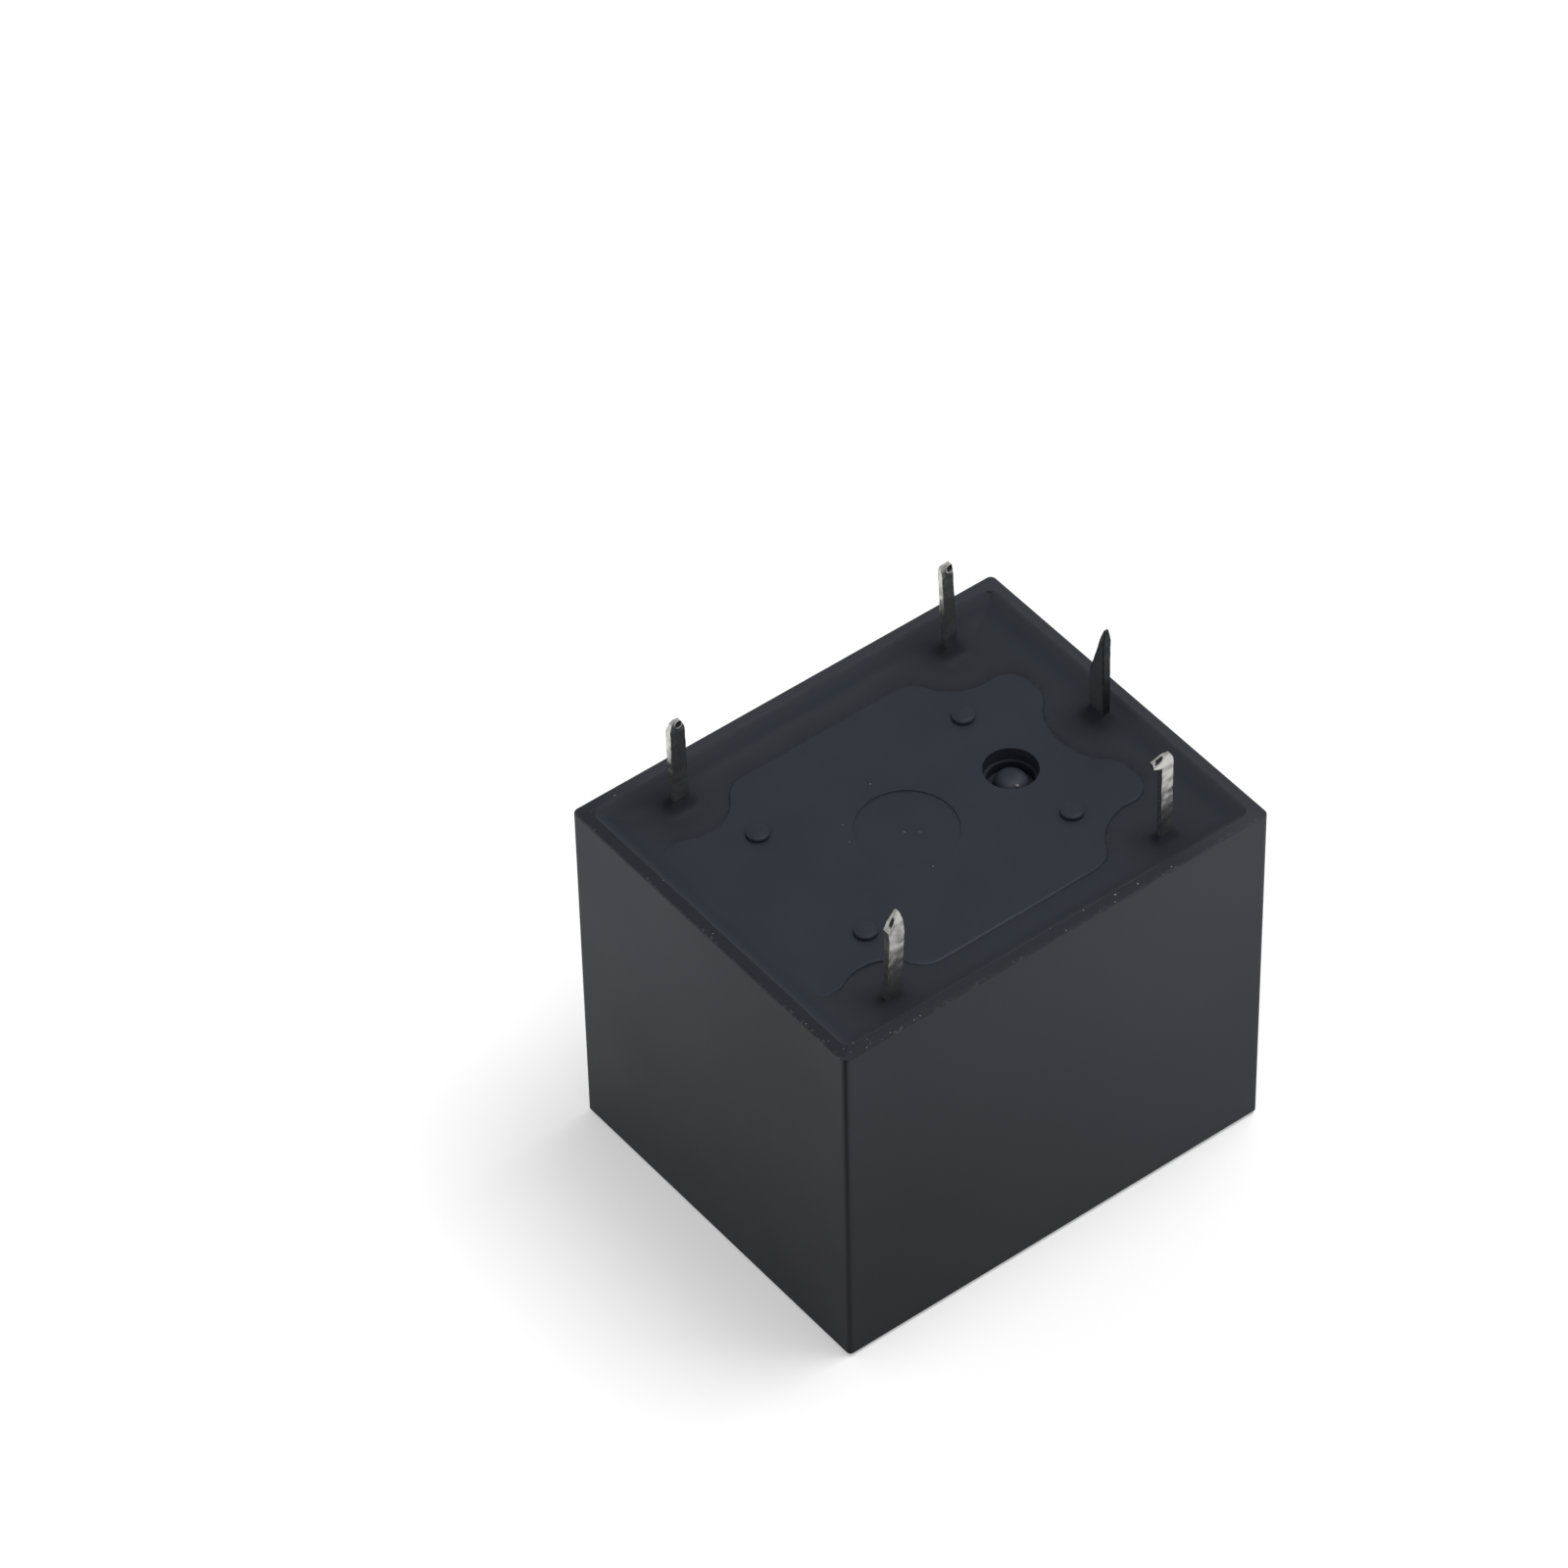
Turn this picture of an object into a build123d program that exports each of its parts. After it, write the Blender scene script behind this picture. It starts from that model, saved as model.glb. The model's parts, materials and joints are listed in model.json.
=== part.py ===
from build123d import *
from math import acos, atan2, cos, degrees, hypot, radians, sin
import os

os.makedirs("parts", exist_ok=True)

# Sealed single-contact power relay for a circuit board, standing on its cover with the pins up.
# The origin is the centre of the cover's closed face. Z points to the pins, X to the common pin.
# All sizes are in millimetres and all angles in degrees.

# Cover
body_length = 19.0
body_width = 15.5
body_height = 15.5
wall_draft = 0.3
corner_radius = 0.25
closed_edge_chamfer = 0.15
closed_wall = 0.8
side_wall = 0.75
rim_wall = 0.5
cavity_corner_radius = 0.4
rim_outer_round = 0.1
rim_inner_round = 0.06
gate_offset = 0.33
gate_diameter = 2.3
gate_depth = 0.25
gate_ring_width = 0.2
gate_ring_depth = 0.06
cover_vent_diameter = 1.4
cover_vent_depth = 0.4
cover_vent_end_margin = 1.45
cover_vent_side_margin = 1.55
cover_nib_diameter = 0.6
cover_nib_height = 0.3

# Pin pattern, from the body's ends and sides
common_end_margin = 1.35
contact_end_margin = 3.45
common_to_coil = 2.0
pin_side_margin = 1.75
pin_length = 3.75
common_pin_excess = 0.4
coil_pin_a_excess = 0.2

# Sheet metal of the terminals, coined thinner at the pins
terminal_sheet = 0.35
pin_thickness = 0.3
contact_pin_width = 0.65
common_pin_width = 0.8
coil_pin_width = 0.52
coil_pin_thickness = 0.26
pin_tip_round = 0.06
pin_edge_length = 0.5
pin_edge_thickness = 0.14

# Lean of each pin's tip along X, as the pins of this relay stand
nc_pin_lean = -0.1
no_pin_lean = 0.2
coil_pin_a_lean = -0.2
coil_pin_b_lean = 0

# Tip outlines, cropped after tinning: shares of the pin's width from its middle, and drops
nc_pin_tip = ((-0.5, 0.4), (-0.3, 0.08), (-0.05, 0), (0.3, 0.05), (0.5, 0.36))
no_pin_tip = ((-0.5, 1.3), (-0.62, 0.8), (-0.02, 0), (0.14, 0.06), (0.4, 0.6), (0.5, 1.1))
common_pin_tip = ((-0.5, 0.5), (-0.46, 0), (-0.32, 0), (0.1, 1.3), (0.5, 2.3))
coil_pin_a_tip = ((-0.5, 0.14), (-0.38, 0), (0.38, 0), (0.5, 0.14))
coil_pin_b_tip = ((-0.5, 0.55), (-1.2, 0.4), (-1.25, 0.12), (-0.3, 0), (0.3, 0.06), (0.5, 0.3))

# Base
base_recess = 0.45
base_thickness = 1.4
flange_thickness = 0.5
base_fit = 0.05
slot_clearance = 0.05
plateau_side_margin = 2.05
plateau_common_margin = 2.1
plateau_contact_margin = 1.2
contact_well_radius = 1.75
coil_well_radius = 2.05
common_well_radius = 2.55
common_well_setback = 0.75
tongue_overlap = 0.35
plateau_shoulder_radius = 1.1
plateau_lobe_radius = 0.9
plateau_lobe_share = 0.4
plateau_corner_radius = 0.7
plateau_edge_round = 0.1
pip_diameter = 0.84
pip_height = 0.15
pip_dish_diameter = 0.56
pip_dish_depth = 0.1
pip_common_margin = 5.1
pip_contact_margin = 4.65
pip_side_margin = 4.7
vent_diameter = 2.05
vent_depth = 0.95
vent_ledge_width = 0.12
vent_ledge_depth = 0.55
vent_common_margin = 5.4
vent_nib_diameter = 1.3
vent_nib_height = 0.6
vent_nib_round = 0.4
insert_mark_diameter = 3.8
insert_mark_depth = 0.05
insert_mark_contact_margin = 8.9
partition_thickness = 0.5
partition_side_margin = 2.3
tower_height = 4.0
tower_wall = 0.5

# Sealing resin
resin_drop = 0.06
rim_creep_height = 0.46
rim_creep_width = 0.6
pin_mound_radius = 0.75
pin_mound_top_radius = 0.46
pin_mound_height = 0.15

# Contacts and contact plates
plate_width = 2.2
plate_bend_radius = 0.5
plate_tip_round = 0.7
plate_floor_gap = 0.35
contact_diameter = 2.2
contact_height = 0.35
contact_crown = 0.1
contact_shank_diameter = 1.2
contact_back_diameter = 1.7
contact_back_height = 0.12
contact_rest_gap = 0.03
arm_overhang = 0.35

# Armature and its swing
armature_travel = 2.0
armature_closed_angle = 0.1
armature_thickness = 1.0
armature_width = 9.2
armature_seat_gap = 0.03
armature_setback = 0.2
armature_hinge_round = 0.8
armature_overhang = 1.2
armature_corner_cut = 1.2
stud_diameter = 1.2
stud_head_diameter = 1.8
stud_head_height = 0.25
stud_clearance = 0.02
armature_stud_pitch = 4.0

# Contact spring
spring_thickness = 0.15
spring_bend_radius = 1.0
spring_leg_width = 6.4
spring_arm_width = 5.0
spring_tip_width = 3.0
spring_taper_length = 2.4
spring_window_width = 2.6
spring_window_reach = 1.6
spring_leg_overhang = 1.3

# Yoke
yoke_thickness = 1.2
yoke_width = 9.2
yoke_bend_radius = 0.6
yoke_toe = 3.2
yoke_toe_radius = 1.6
yoke_stud_pitch = 2.4
yoke_stud_drop = 4.3

# Common terminal inside the relay
common_plate_width = 5.0
common_plate_overhang = 1.1
common_plate_round = 0.5

# Core and coil
core_diameter = 3.6
pole_diameter = 6.0
pole_thickness = 0.8
pole_edge_round = 0.15
pole_projection = 0.35
core_spigot_diameter = 2.8
core_head_diameter = 3.5
core_head_height = 0.3
core_clearance = 0.05
bobbin_gap = 0.05
bobbin_side_margin = 2.15
bobbin_corner_radius = 0.8
bobbin_tube_wall = 0.6
pole_flange_thickness = 0.8
base_flange_thickness = 0.8
winding_margin = 0.45
boss_wall = 0.7
boss_depth = 2.8
post_length = 1.3
lead_diameter = 0.14
lead_turns = 4
lead_pitch = 0.12
lead_facets = 8
lead_wrap_angle = 45
lead_drop = 0.45
solder_diameter = 0.95

# Levels along Z, from the closed face to the pin tips
mouth_length = body_length - 2 * rim_wall
mouth_width = body_width - 2 * rim_wall
plateau_z = body_height - base_recess
floor_z = plateau_z - base_thickness
flange_z = floor_z + flange_thickness
resin_z = plateau_z - resin_drop
pin_root_z = resin_z + pin_mound_height
nc_arm_z = closed_wall + plate_floor_gap + terminal_sheet / 2
nc_face_z = nc_arm_z + terminal_sheet / 2 + contact_height
rest_contact_z = nc_face_z + contact_rest_gap + contact_height + spring_thickness / 2

# Places along X and Y, from the pin pattern inwards
common_x = body_length / 2 - common_end_margin
coil_pin_x = common_x - common_to_coil
contact_x = -body_length / 2 + contact_end_margin
pin_y = body_width / 2 - pin_side_margin
yoke_outer_x = common_x - terminal_sheet / 2 - spring_thickness
yoke_inner_x = yoke_outer_x - yoke_thickness
spring_x = yoke_outer_x + spring_thickness / 2
plate_edge_x = contact_x + plate_width / 2
partition_near_x = plate_edge_x + 2 * slot_clearance
partition_far_x = partition_near_x + partition_thickness
bobbin_near_x = partition_far_x + bobbin_gap
bobbin_far_x = yoke_inner_x - bobbin_gap
coil_x = (bobbin_near_x + bobbin_far_x) / 2
bobbin_length = bobbin_far_x - bobbin_near_x
bobbin_width = body_width - 2 * bobbin_side_margin
winding_radius = min(bobbin_length, bobbin_width) / 2 - winding_margin

# The armature hinges on the yoke's outer edge. Its angle is 0 when flat on the pole, and it
# rests open by the lift angle, where the moving contact meets the normally closed contact.
lift = armature_travel + armature_closed_angle
spring_offset = armature_seat_gap + armature_thickness + spring_thickness / 2
contact_arm = yoke_outer_x - contact_x
pole_z = rest_contact_z + spring_offset * cos(radians(lift)) + contact_arm * sin(radians(lift))
hinge_axis = Axis((yoke_outer_x, 0, pole_z), (0, 1, 0))
contact_rise = contact_arm * (sin(radians(lift)) - sin(radians(armature_closed_angle)))
no_face_z = nc_face_z + 2 * contact_height + spring_thickness + contact_rise + 2 * contact_rest_gap
no_arm_z = no_face_z + contact_height + terminal_sheet / 2
armature_near_x = yoke_outer_x - armature_setback
armature_far_x = coil_x - pole_diameter / 2 - armature_overhang
armature_outer_z = pole_z - armature_seat_gap - armature_thickness

# The bobbin fills the space between the pole and the yoke's foot
yoke_foot_z = floor_z - yoke_thickness
bobbin_low_z = pole_z + pole_projection
winding_low_z = bobbin_low_z + pole_flange_thickness
winding_high_z = yoke_foot_z - base_flange_thickness
yoke_stud_z = floor_z - yoke_stud_drop
boss_low_z = floor_z - boss_depth
post_low_z = boss_low_z - post_length
lead_z = boss_low_z - lead_drop


def block(x_span, y_span, z_span):
    """A straight-sided block between two values on each axis."""
    size = [high - low for low, high in (x_span, y_span, z_span)]
    centre = [(low + high) / 2 for low, high in (x_span, y_span, z_span)]
    return Pos(*centre) * Box(*size)


def around(centre, width):
    """The two ends of a width centred on a value."""
    return (centre - width / 2, centre + width / 2)


def drum(x, y, z_low, z_high, diameter):
    """A round bar along Z."""
    return Pos(x, y, (z_low + z_high) / 2) * Cylinder(diameter / 2, z_high - z_low)


def rectangle_at(x_span, y_span):
    """A flat rectangle between two values on each axis."""
    centre = Pos(sum(x_span) / 2, sum(y_span) / 2)
    return centre * Rectangle(x_span[1] - x_span[0], y_span[1] - y_span[0])


def pin_places():
    """Centre, size along X and size along Y of each of the five pins."""
    places = [(common_x, 0, pin_thickness, common_pin_width)]
    for side in (-1, 1):
        places.append((contact_x, side * pin_y, contact_pin_width, pin_thickness))
        places.append((coil_pin_x, side * pin_y, coil_pin_width, coil_pin_thickness))
    return places


def make_cover():
    """Deep drafted box with a ledge that seats the base."""
    rim_plane = Plane.XY.offset(body_height)
    rim_outline = RectangleRounded(body_length, body_width, corner_radius)
    shell = extrude(rim_plane * rim_outline, -body_height, taper=wall_draft)
    shell = chamfer(shell.faces().sort_by(Axis.Z)[0].edges(), closed_edge_chamfer)

    ledge_plane = Plane.XY.offset(floor_z)
    cavity_outline = RectangleRounded(
        body_length - 2 * side_wall, body_width - 2 * side_wall, cavity_corner_radius
    )
    shell -= extrude(ledge_plane * cavity_outline, closed_wall - floor_z, taper=wall_draft)
    mouth_outline = RectangleRounded(mouth_length, mouth_width, cavity_corner_radius)
    shell -= extrude(ledge_plane * mouth_outline, body_height - floor_z)

    rim = shell.faces().sort_by(Axis.Z)[-1]
    shell = fillet(rim.outer_wire().edges(), rim_outer_round)
    rim = shell.faces().sort_by(Axis.Z)[-1]
    shell = fillet(rim.inner_wires().edges(), rim_inner_round)

    ring_outer = drum(-gate_offset, 0, 0, gate_ring_depth, gate_diameter + 2 * gate_ring_width)
    shell -= ring_outer
    shell -= drum(-gate_offset, 0, 0, gate_depth, gate_diameter)

    vent_x = -body_length / 2 + cover_vent_end_margin
    vent_y = -body_width / 2 + cover_vent_side_margin
    shell -= drum(vent_x, vent_y, 0, cover_vent_depth, cover_vent_diameter)
    nib_low_z = cover_vent_depth - cover_nib_height
    return shell + drum(vent_x, vent_y, nib_low_z, cover_vent_depth, cover_nib_diameter)


def plateau_outline():
    """Raised middle of the base, bitten away round each pin."""
    main_x = (contact_x, body_length / 2 - plateau_common_margin)
    main_y = around(0, body_width - 2 * plateau_side_margin)
    tongue_x = (-body_length / 2 + plateau_contact_margin, 0)
    tongue_y = around(0, 2 * (pin_y - contact_well_radius + tongue_overlap))
    outline = rectangle_at(main_x, main_y) + rectangle_at(tongue_x, tongue_y)
    outline -= Pos(common_x + common_well_setback, 0) * Circle(common_well_radius)
    for side in (-1, 1):
        outline -= Pos(contact_x, side * pin_y) * Circle(contact_well_radius)
        outline -= Pos(coil_pin_x, side * pin_y) * Circle(coil_well_radius)
    land = outline.edges().group_by(Axis.X)[-1][0].length
    lobe_radius = min(plateau_lobe_radius, plateau_lobe_share * land)
    outline = fillet(outline.vertices().group_by(Axis.X)[-1], lobe_radius)
    columns = outline.vertices().group_by(Axis.X)
    outline = fillet(columns[0] + columns[1], plateau_corner_radius)
    rows = outline.vertices().group_by(Axis.Y)
    return fillet(rows[0] + rows[-1], plateau_shoulder_radius)


def make_base():
    """Moulded base: flange, plateau, pips, vent, terminal towers and partition."""
    flange_outline = RectangleRounded(
        mouth_length - 2 * base_fit, mouth_width - 2 * base_fit, cavity_corner_radius
    )
    floor_plane = Plane.XY.offset(floor_z)
    plateau = extrude(floor_plane * plateau_outline(), base_thickness)
    plateau = fillet(plateau.faces().sort_by(Axis.Z)[-1].edges(), plateau_edge_round)
    base = extrude(floor_plane * flange_outline, flange_thickness) + plateau

    partition_y = around(0, body_width - 2 * partition_side_margin)
    partition_low_z = no_arm_z
    base += block((partition_near_x, partition_far_x), partition_y, (partition_low_z, floor_z))
    tower_near_x = contact_x - plate_width / 2 - slot_clearance - tower_wall
    tower_depth = terminal_sheet + 2 * (slot_clearance + tower_wall)
    for side in (-1, 1):
        tower_y = around(side * pin_y, tower_depth)
        base += block((tower_near_x, partition_far_x), tower_y, (floor_z - tower_height, floor_z))
        plate_x = around(contact_x, plate_width + 2 * slot_clearance)
        plate_y = around(side * pin_y, terminal_sheet + 2 * slot_clearance)
        base -= block(plate_x, plate_y, (floor_z - tower_height, floor_z))

    for x, y, size_x, size_y in pin_places():
        x_span = around(x, size_x + 2 * slot_clearance)
        y_span = around(y, size_y + 2 * slot_clearance)
        base -= block(x_span, y_span, (floor_z, flange_z))

    pip_y = body_width / 2 - pip_side_margin
    pip_common_x = body_length / 2 - pip_common_margin
    pip_contact_x = -body_length / 2 + pip_contact_margin
    pip_top_z = plateau_z + pip_height
    for pip_x in (pip_contact_x, pip_common_x):
        for side in (-1, 1):
            base += drum(pip_x, side * pip_y, plateau_z, pip_top_z, pip_diameter)
            dish = drum(pip_x, side * pip_y, pip_top_z - pip_dish_depth, pip_top_z, pip_dish_diameter)
            base -= dish

    vent_x = body_length / 2 - vent_common_margin
    base -= drum(vent_x, 0, plateau_z - vent_ledge_depth, plateau_z, vent_diameter)
    throat_diameter = vent_diameter - 2 * vent_ledge_width
    base -= drum(vent_x, 0, plateau_z - vent_depth, plateau_z, throat_diameter)
    nib_z = plateau_z - vent_depth
    nib = drum(vent_x, 0, nib_z, nib_z + vent_nib_height, vent_nib_diameter)
    base += fillet(nib.faces().sort_by(Axis.Z)[-1].edges(), vent_nib_round)

    mark_x = -body_length / 2 + insert_mark_contact_margin
    base -= drum(mark_x, 0, plateau_z - insert_mark_depth, plateau_z, insert_mark_diameter)
    pocket_diameter = core_head_diameter + 4 * core_clearance
    pocket_high_z = floor_z + core_head_height + core_clearance
    return base - drum(coil_x, 0, floor_z, pocket_high_z, pocket_diameter)


def make_sealing_resin():
    """Resin ring between plateau and cover, creeping up the rim and the pins."""
    level = Plane.XY.offset(resin_z)
    mouth = RectangleRounded(mouth_length, mouth_width, cavity_corner_radius)
    flange_plane = Plane.XY.offset(flange_z)
    resin = extrude(flange_plane * mouth, resin_z - flange_z)

    creep_low = RectangleRounded(
        mouth_length - 2 * rim_creep_width,
        mouth_width - 2 * rim_creep_width,
        cavity_corner_radius,
    )
    creep_top = Plane.XY.offset(resin_z + rim_creep_height)
    creep = extrude(level * mouth, rim_creep_height)
    creep -= loft([level * creep_low, creep_top * mouth], ruled=True)
    resin += creep

    for x, y, _, _ in pin_places():
        mound = Cone(pin_mound_radius, pin_mound_top_radius, pin_mound_height)
        mound = Pos(x, y, resin_z + pin_mound_height / 2) * mound
        resin += mound & extrude(level * mouth, pin_mound_height)

    floor_plane = Plane.XY.offset(floor_z)
    resin -= extrude(floor_plane * plateau_outline(), base_thickness)
    for x, y, size_x, size_y in pin_places():
        resin -= block(around(x, size_x), around(y, size_y), (floor_z, body_height))
    return resin


def pin_blade(width, sheet, lean, tip, excess):
    """Pin along the XZ plane: straight root, leaning shank, cropped tip with thinned edges."""
    tip_z = body_height + pin_length + excess
    lean_rate = lean / (tip_z - pin_root_z)
    outline = [
        (width / 2, pin_root_z),
        (width / 2, floor_z),
        (-width / 2, floor_z),
        (-width / 2, pin_root_z),
    ]
    for share, drop in tip:
        height = tip_z - drop
        outline.append((share * width + lean_rate * (height - pin_root_z), height))
    front = make_face(Plane.XZ * Polyline(*outline, close=True))
    tip_corners = front.vertices().sort_by(Axis.Z)[-len(tip):]
    front = fillet(tip_corners, pin_tip_round)
    side = Polygon(
        (-sheet / 2, floor_z),
        (sheet / 2, floor_z),
        (sheet / 2, tip_z - pin_edge_length),
        (pin_edge_thickness / 2, tip_z),
        (-pin_edge_thickness / 2, tip_z),
        (-sheet / 2, tip_z - pin_edge_length),
        align=None,
    )
    return extrude(front, sheet, both=True) & extrude(Plane.YZ * side, 2 * width, both=True)


def make_contact_terminal(side, arm_z, lean, tip):
    """Flat pin, plate down through the tower, and arm bent in to the middle."""
    arm_reach = contact_diameter / 2 + arm_overhang
    route = FilletPolyline(
        (side * pin_y, floor_z),
        (side * pin_y, arm_z),
        (-side * arm_reach, arm_z),
        radius=plate_bend_radius,
    )
    strip = trace(route, terminal_sheet)
    terminal = extrude(Plane.YZ.offset(contact_x) * strip, plate_width / 2, both=True)
    arm_tip = terminal.edges().filter_by(Axis.Z).sort_by(Axis.Y, reverse=side > 0)[-2:]
    terminal = fillet(arm_tip, plate_tip_round)
    pin = pin_blade(contact_pin_width, pin_thickness, lean, tip, 0)
    terminal += Pos(contact_x, side * pin_y) * pin
    hole_z = around(arm_z, 2 * terminal_sheet)
    return terminal - drum(contact_x, 0, *hole_z, contact_shank_diameter)


def make_common_terminal():
    """Flat pin and the plate riveted to the yoke over the spring."""
    plate_low_z = yoke_stud_z - common_plate_overhang
    plate_outline = rectangle_at(around(0, common_plate_width), (plate_low_z, floor_z))
    plate_outline = fillet(plate_outline.vertices(), common_plate_round)
    plate = extrude(Plane.YZ.offset(common_x) * plate_outline, terminal_sheet / 2, both=True)
    for side in (-1, 1):
        stud_place = Pos(common_x, side * yoke_stud_pitch / 2, yoke_stud_z)
        hole = Cylinder(stud_diameter / 2 + stud_clearance, 2 * terminal_sheet)
        plate -= stud_place * Rot(0, 90, 0) * hole
    pin = pin_blade(common_pin_width, pin_thickness, 0, common_pin_tip, common_pin_excess)
    return plate + Pos(common_x, 0) * Rot(0, 0, 90) * pin


def make_coil_terminal(side, lean, tip, excess):
    """Narrow flat pin that goes on down as a post for the winding's end."""
    pin = pin_blade(coil_pin_width, coil_pin_thickness, lean, tip, excess)
    return Pos(coil_pin_x, side * pin_y) * pin + coil_post(side)


def coil_post(side):
    """Lower end of a coil terminal, through the bobbin's boss and out below it."""
    span_x = around(coil_pin_x, coil_pin_width)
    span_y = around(side * pin_y, coil_pin_thickness)
    return block(span_x, span_y, (post_low_z, floor_z))


def contact_head(radius, height, crown):
    """Domed contact face above the plane of its sheet."""
    edge_height = height - crown
    sides = Polyline((0, height), (0, 0), (radius, 0), (radius, edge_height))
    dome = TangentArc((0, height), (radius, edge_height), tangent=(1, 0))
    return revolve(Plane.XZ * make_face(sides + dome), Axis.Z)


def make_fixed_contact(arm_z, facing):
    """Contact rivet with a domed face, a shank through the arm and a staked back."""
    head = Pos(0, 0, terminal_sheet / 2) * contact_head(
        contact_diameter / 2, contact_height, contact_crown
    )
    shank = Cylinder(contact_shank_diameter / 2, terminal_sheet)
    back_z = (terminal_sheet + contact_back_height) / 2
    back = Pos(0, 0, -back_z) * Cylinder(contact_back_diameter / 2, contact_back_height)
    rivet = head + shank + back
    if facing < 0:
        rivet = Rot(180, 0, 0) * rivet
    return Pos(contact_x, 0, arm_z) * rivet


def make_moving_contact():
    """Double-faced contact rivet at the spring's tip, tilted with the armature."""
    upper = Pos(0, 0, spring_thickness / 2) * contact_head(
        contact_diameter / 2, contact_height, contact_crown
    )
    rivet = upper + Rot(180, 0, 0) * upper
    rivet += Cylinder(contact_shank_diameter / 2, spring_thickness)
    closed_place = Pos(contact_x, 0, pole_z - spring_offset)
    return (closed_place * rivet).rotate(hinge_axis, -lift)


def make_armature():
    """Hinged plate with a rounded heel and two riveting studs."""
    span_x = (armature_far_x, armature_near_x)
    outline = rectangle_at(span_x, around(0, armature_width))
    far_corners = outline.vertices().sort_by(Axis.X)[:2]
    outline = chamfer(far_corners, armature_corner_cut)
    plate = extrude(Plane.XY.offset(armature_outer_z) * outline, armature_thickness)
    heel = plate.edges().filter_by(Axis.Y).group_by(Axis.X)[-1].sort_by(Axis.Z)[0]
    plate = fillet(heel, armature_hinge_round)
    head_z = armature_outer_z - spring_thickness
    for side in (-1, 1):
        stud_y = side * armature_stud_pitch / 2
        plate += drum(coil_x, stud_y, head_z, armature_outer_z, stud_diameter)
        plate += drum(coil_x, stud_y, head_z - stud_head_height, head_z, stud_head_diameter)
    return plate.rotate(hinge_axis, -lift)


def make_contact_spring():
    """Strip spring: leg on the yoke, bend round the heel, arm under the armature."""
    arm_start = Vector(yoke_outer_x, 0, pole_z - spring_offset)
    tip_x = contact_x - spring_tip_width / 2
    arm_end = Vector(tip_x, 0, pole_z - spring_offset)
    turned = Edge.make_line(arm_start, arm_end).rotate(hinge_axis, -lift)
    start, end = turned.position_at(0), turned.position_at(1)
    corner_z = start.Z + (spring_x - start.X) * (start.Z - end.Z) / (start.X - end.X)
    leg_top_z = yoke_stud_z + spring_leg_overhang
    route = FilletPolyline(
        (spring_x, leg_top_z),
        (spring_x, corner_z),
        (end.X, end.Z),
        radius=spring_bend_radius + spring_thickness / 2,
    )
    profile = Plane.XZ * trace(route, spring_thickness)
    strip = extrude(profile, spring_leg_width / 2, both=True)

    # Plan shape of the arm, cut down through the strip
    taper_x = armature_far_x - spring_taper_length
    half_arm = spring_arm_width / 2
    half_tip = spring_tip_width / 2
    half_leg = spring_leg_width / 2
    bend_x = spring_x - spring_bend_radius
    edge = Polyline(
        (bend_x + half_leg, half_leg),
        (bend_x, half_leg),
        (coil_x + stud_head_diameter, half_arm),
        (armature_far_x, half_arm),
        (taper_x, half_tip),
        (contact_x, half_tip),
    )
    nose = ThreePointArc(
        (contact_x, half_tip), (contact_x - half_tip, 0), (contact_x, -half_tip)
    )
    heel = Line((bend_x + half_leg, -half_leg), (bend_x + half_leg, half_leg))
    plan = make_face(edge + nose + mirror(edge, Plane.XZ) + heel)
    strip &= extrude(plan, plateau_z)

    window_x = (bend_x - spring_window_reach, spring_x + spring_thickness)
    window_z = (0, pole_z + spring_window_reach)
    strip -= block(window_x, around(0, spring_window_width), window_z)
    rivet_hole = drum(contact_x, 0, *around(pole_z - spring_offset, 1), contact_shank_diameter)
    holes = rivet_hole
    for side in (-1, 1):
        hole_diameter = stud_diameter + 2 * stud_clearance
        stud_y = side * armature_stud_pitch / 2
        holes += drum(coil_x, stud_y, *around(pole_z - spring_offset, 1), hole_diameter)
    strip -= holes.rotate(hinge_axis, -lift)
    for side in (-1, 1):
        stud_place = Pos(spring_x, side * yoke_stud_pitch / 2, yoke_stud_z)
        strip -= stud_place * Rot(0, 90, 0) * Cylinder(hole_diameter / 2, 1)
    return strip


def make_yoke():
    """L-shaped yoke: foot under the base, upright behind the coil, two studs."""
    toe_x = coil_x - yoke_toe
    middle_x = yoke_outer_x - yoke_thickness / 2
    middle_z = floor_z - yoke_thickness / 2
    route = FilletPolyline(
        (middle_x, pole_z),
        (middle_x, middle_z),
        (toe_x, middle_z),
        radius=yoke_bend_radius + yoke_thickness / 2,
    )
    profile = Plane.XZ * trace(route, yoke_thickness)
    yoke = extrude(profile, yoke_width / 2, both=True)
    toe_corners = yoke.edges().filter_by(Axis.Z).sort_by(Axis.X)[:2]
    yoke = fillet(toe_corners, yoke_toe_radius)
    hole_z = (yoke_foot_z - core_clearance, floor_z + core_clearance)
    yoke -= drum(coil_x, 0, *hole_z, core_spigot_diameter)
    stack = spring_thickness + terminal_sheet
    for side in (-1, 1):
        stud_y = side * yoke_stud_pitch / 2
        shank = Cylinder(stud_diameter / 2, stack)
        head = Cylinder(stud_head_diameter / 2, stud_head_height)
        shank_x = yoke_outer_x + stack / 2
        head_x = yoke_outer_x + stack + stud_head_height / 2
        yoke += Pos(shank_x, stud_y, yoke_stud_z) * Rot(0, 90, 0) * shank
        yoke += Pos(head_x, stud_y, yoke_stud_z) * Rot(0, 90, 0) * head
    return yoke


def make_iron_core():
    """Pole head, shank and the spigot staked over the yoke's foot."""
    core = drum(coil_x, 0, pole_z, pole_z + pole_thickness, pole_diameter)
    core = fillet(core.edges().sort_by(Axis.Z)[0], pole_edge_round)
    core += drum(coil_x, 0, pole_z + pole_thickness, yoke_foot_z, core_diameter)
    core += drum(coil_x, 0, yoke_foot_z, floor_z, core_spigot_diameter)
    return core + drum(coil_x, 0, floor_z, floor_z + core_head_height, core_head_diameter)


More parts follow.
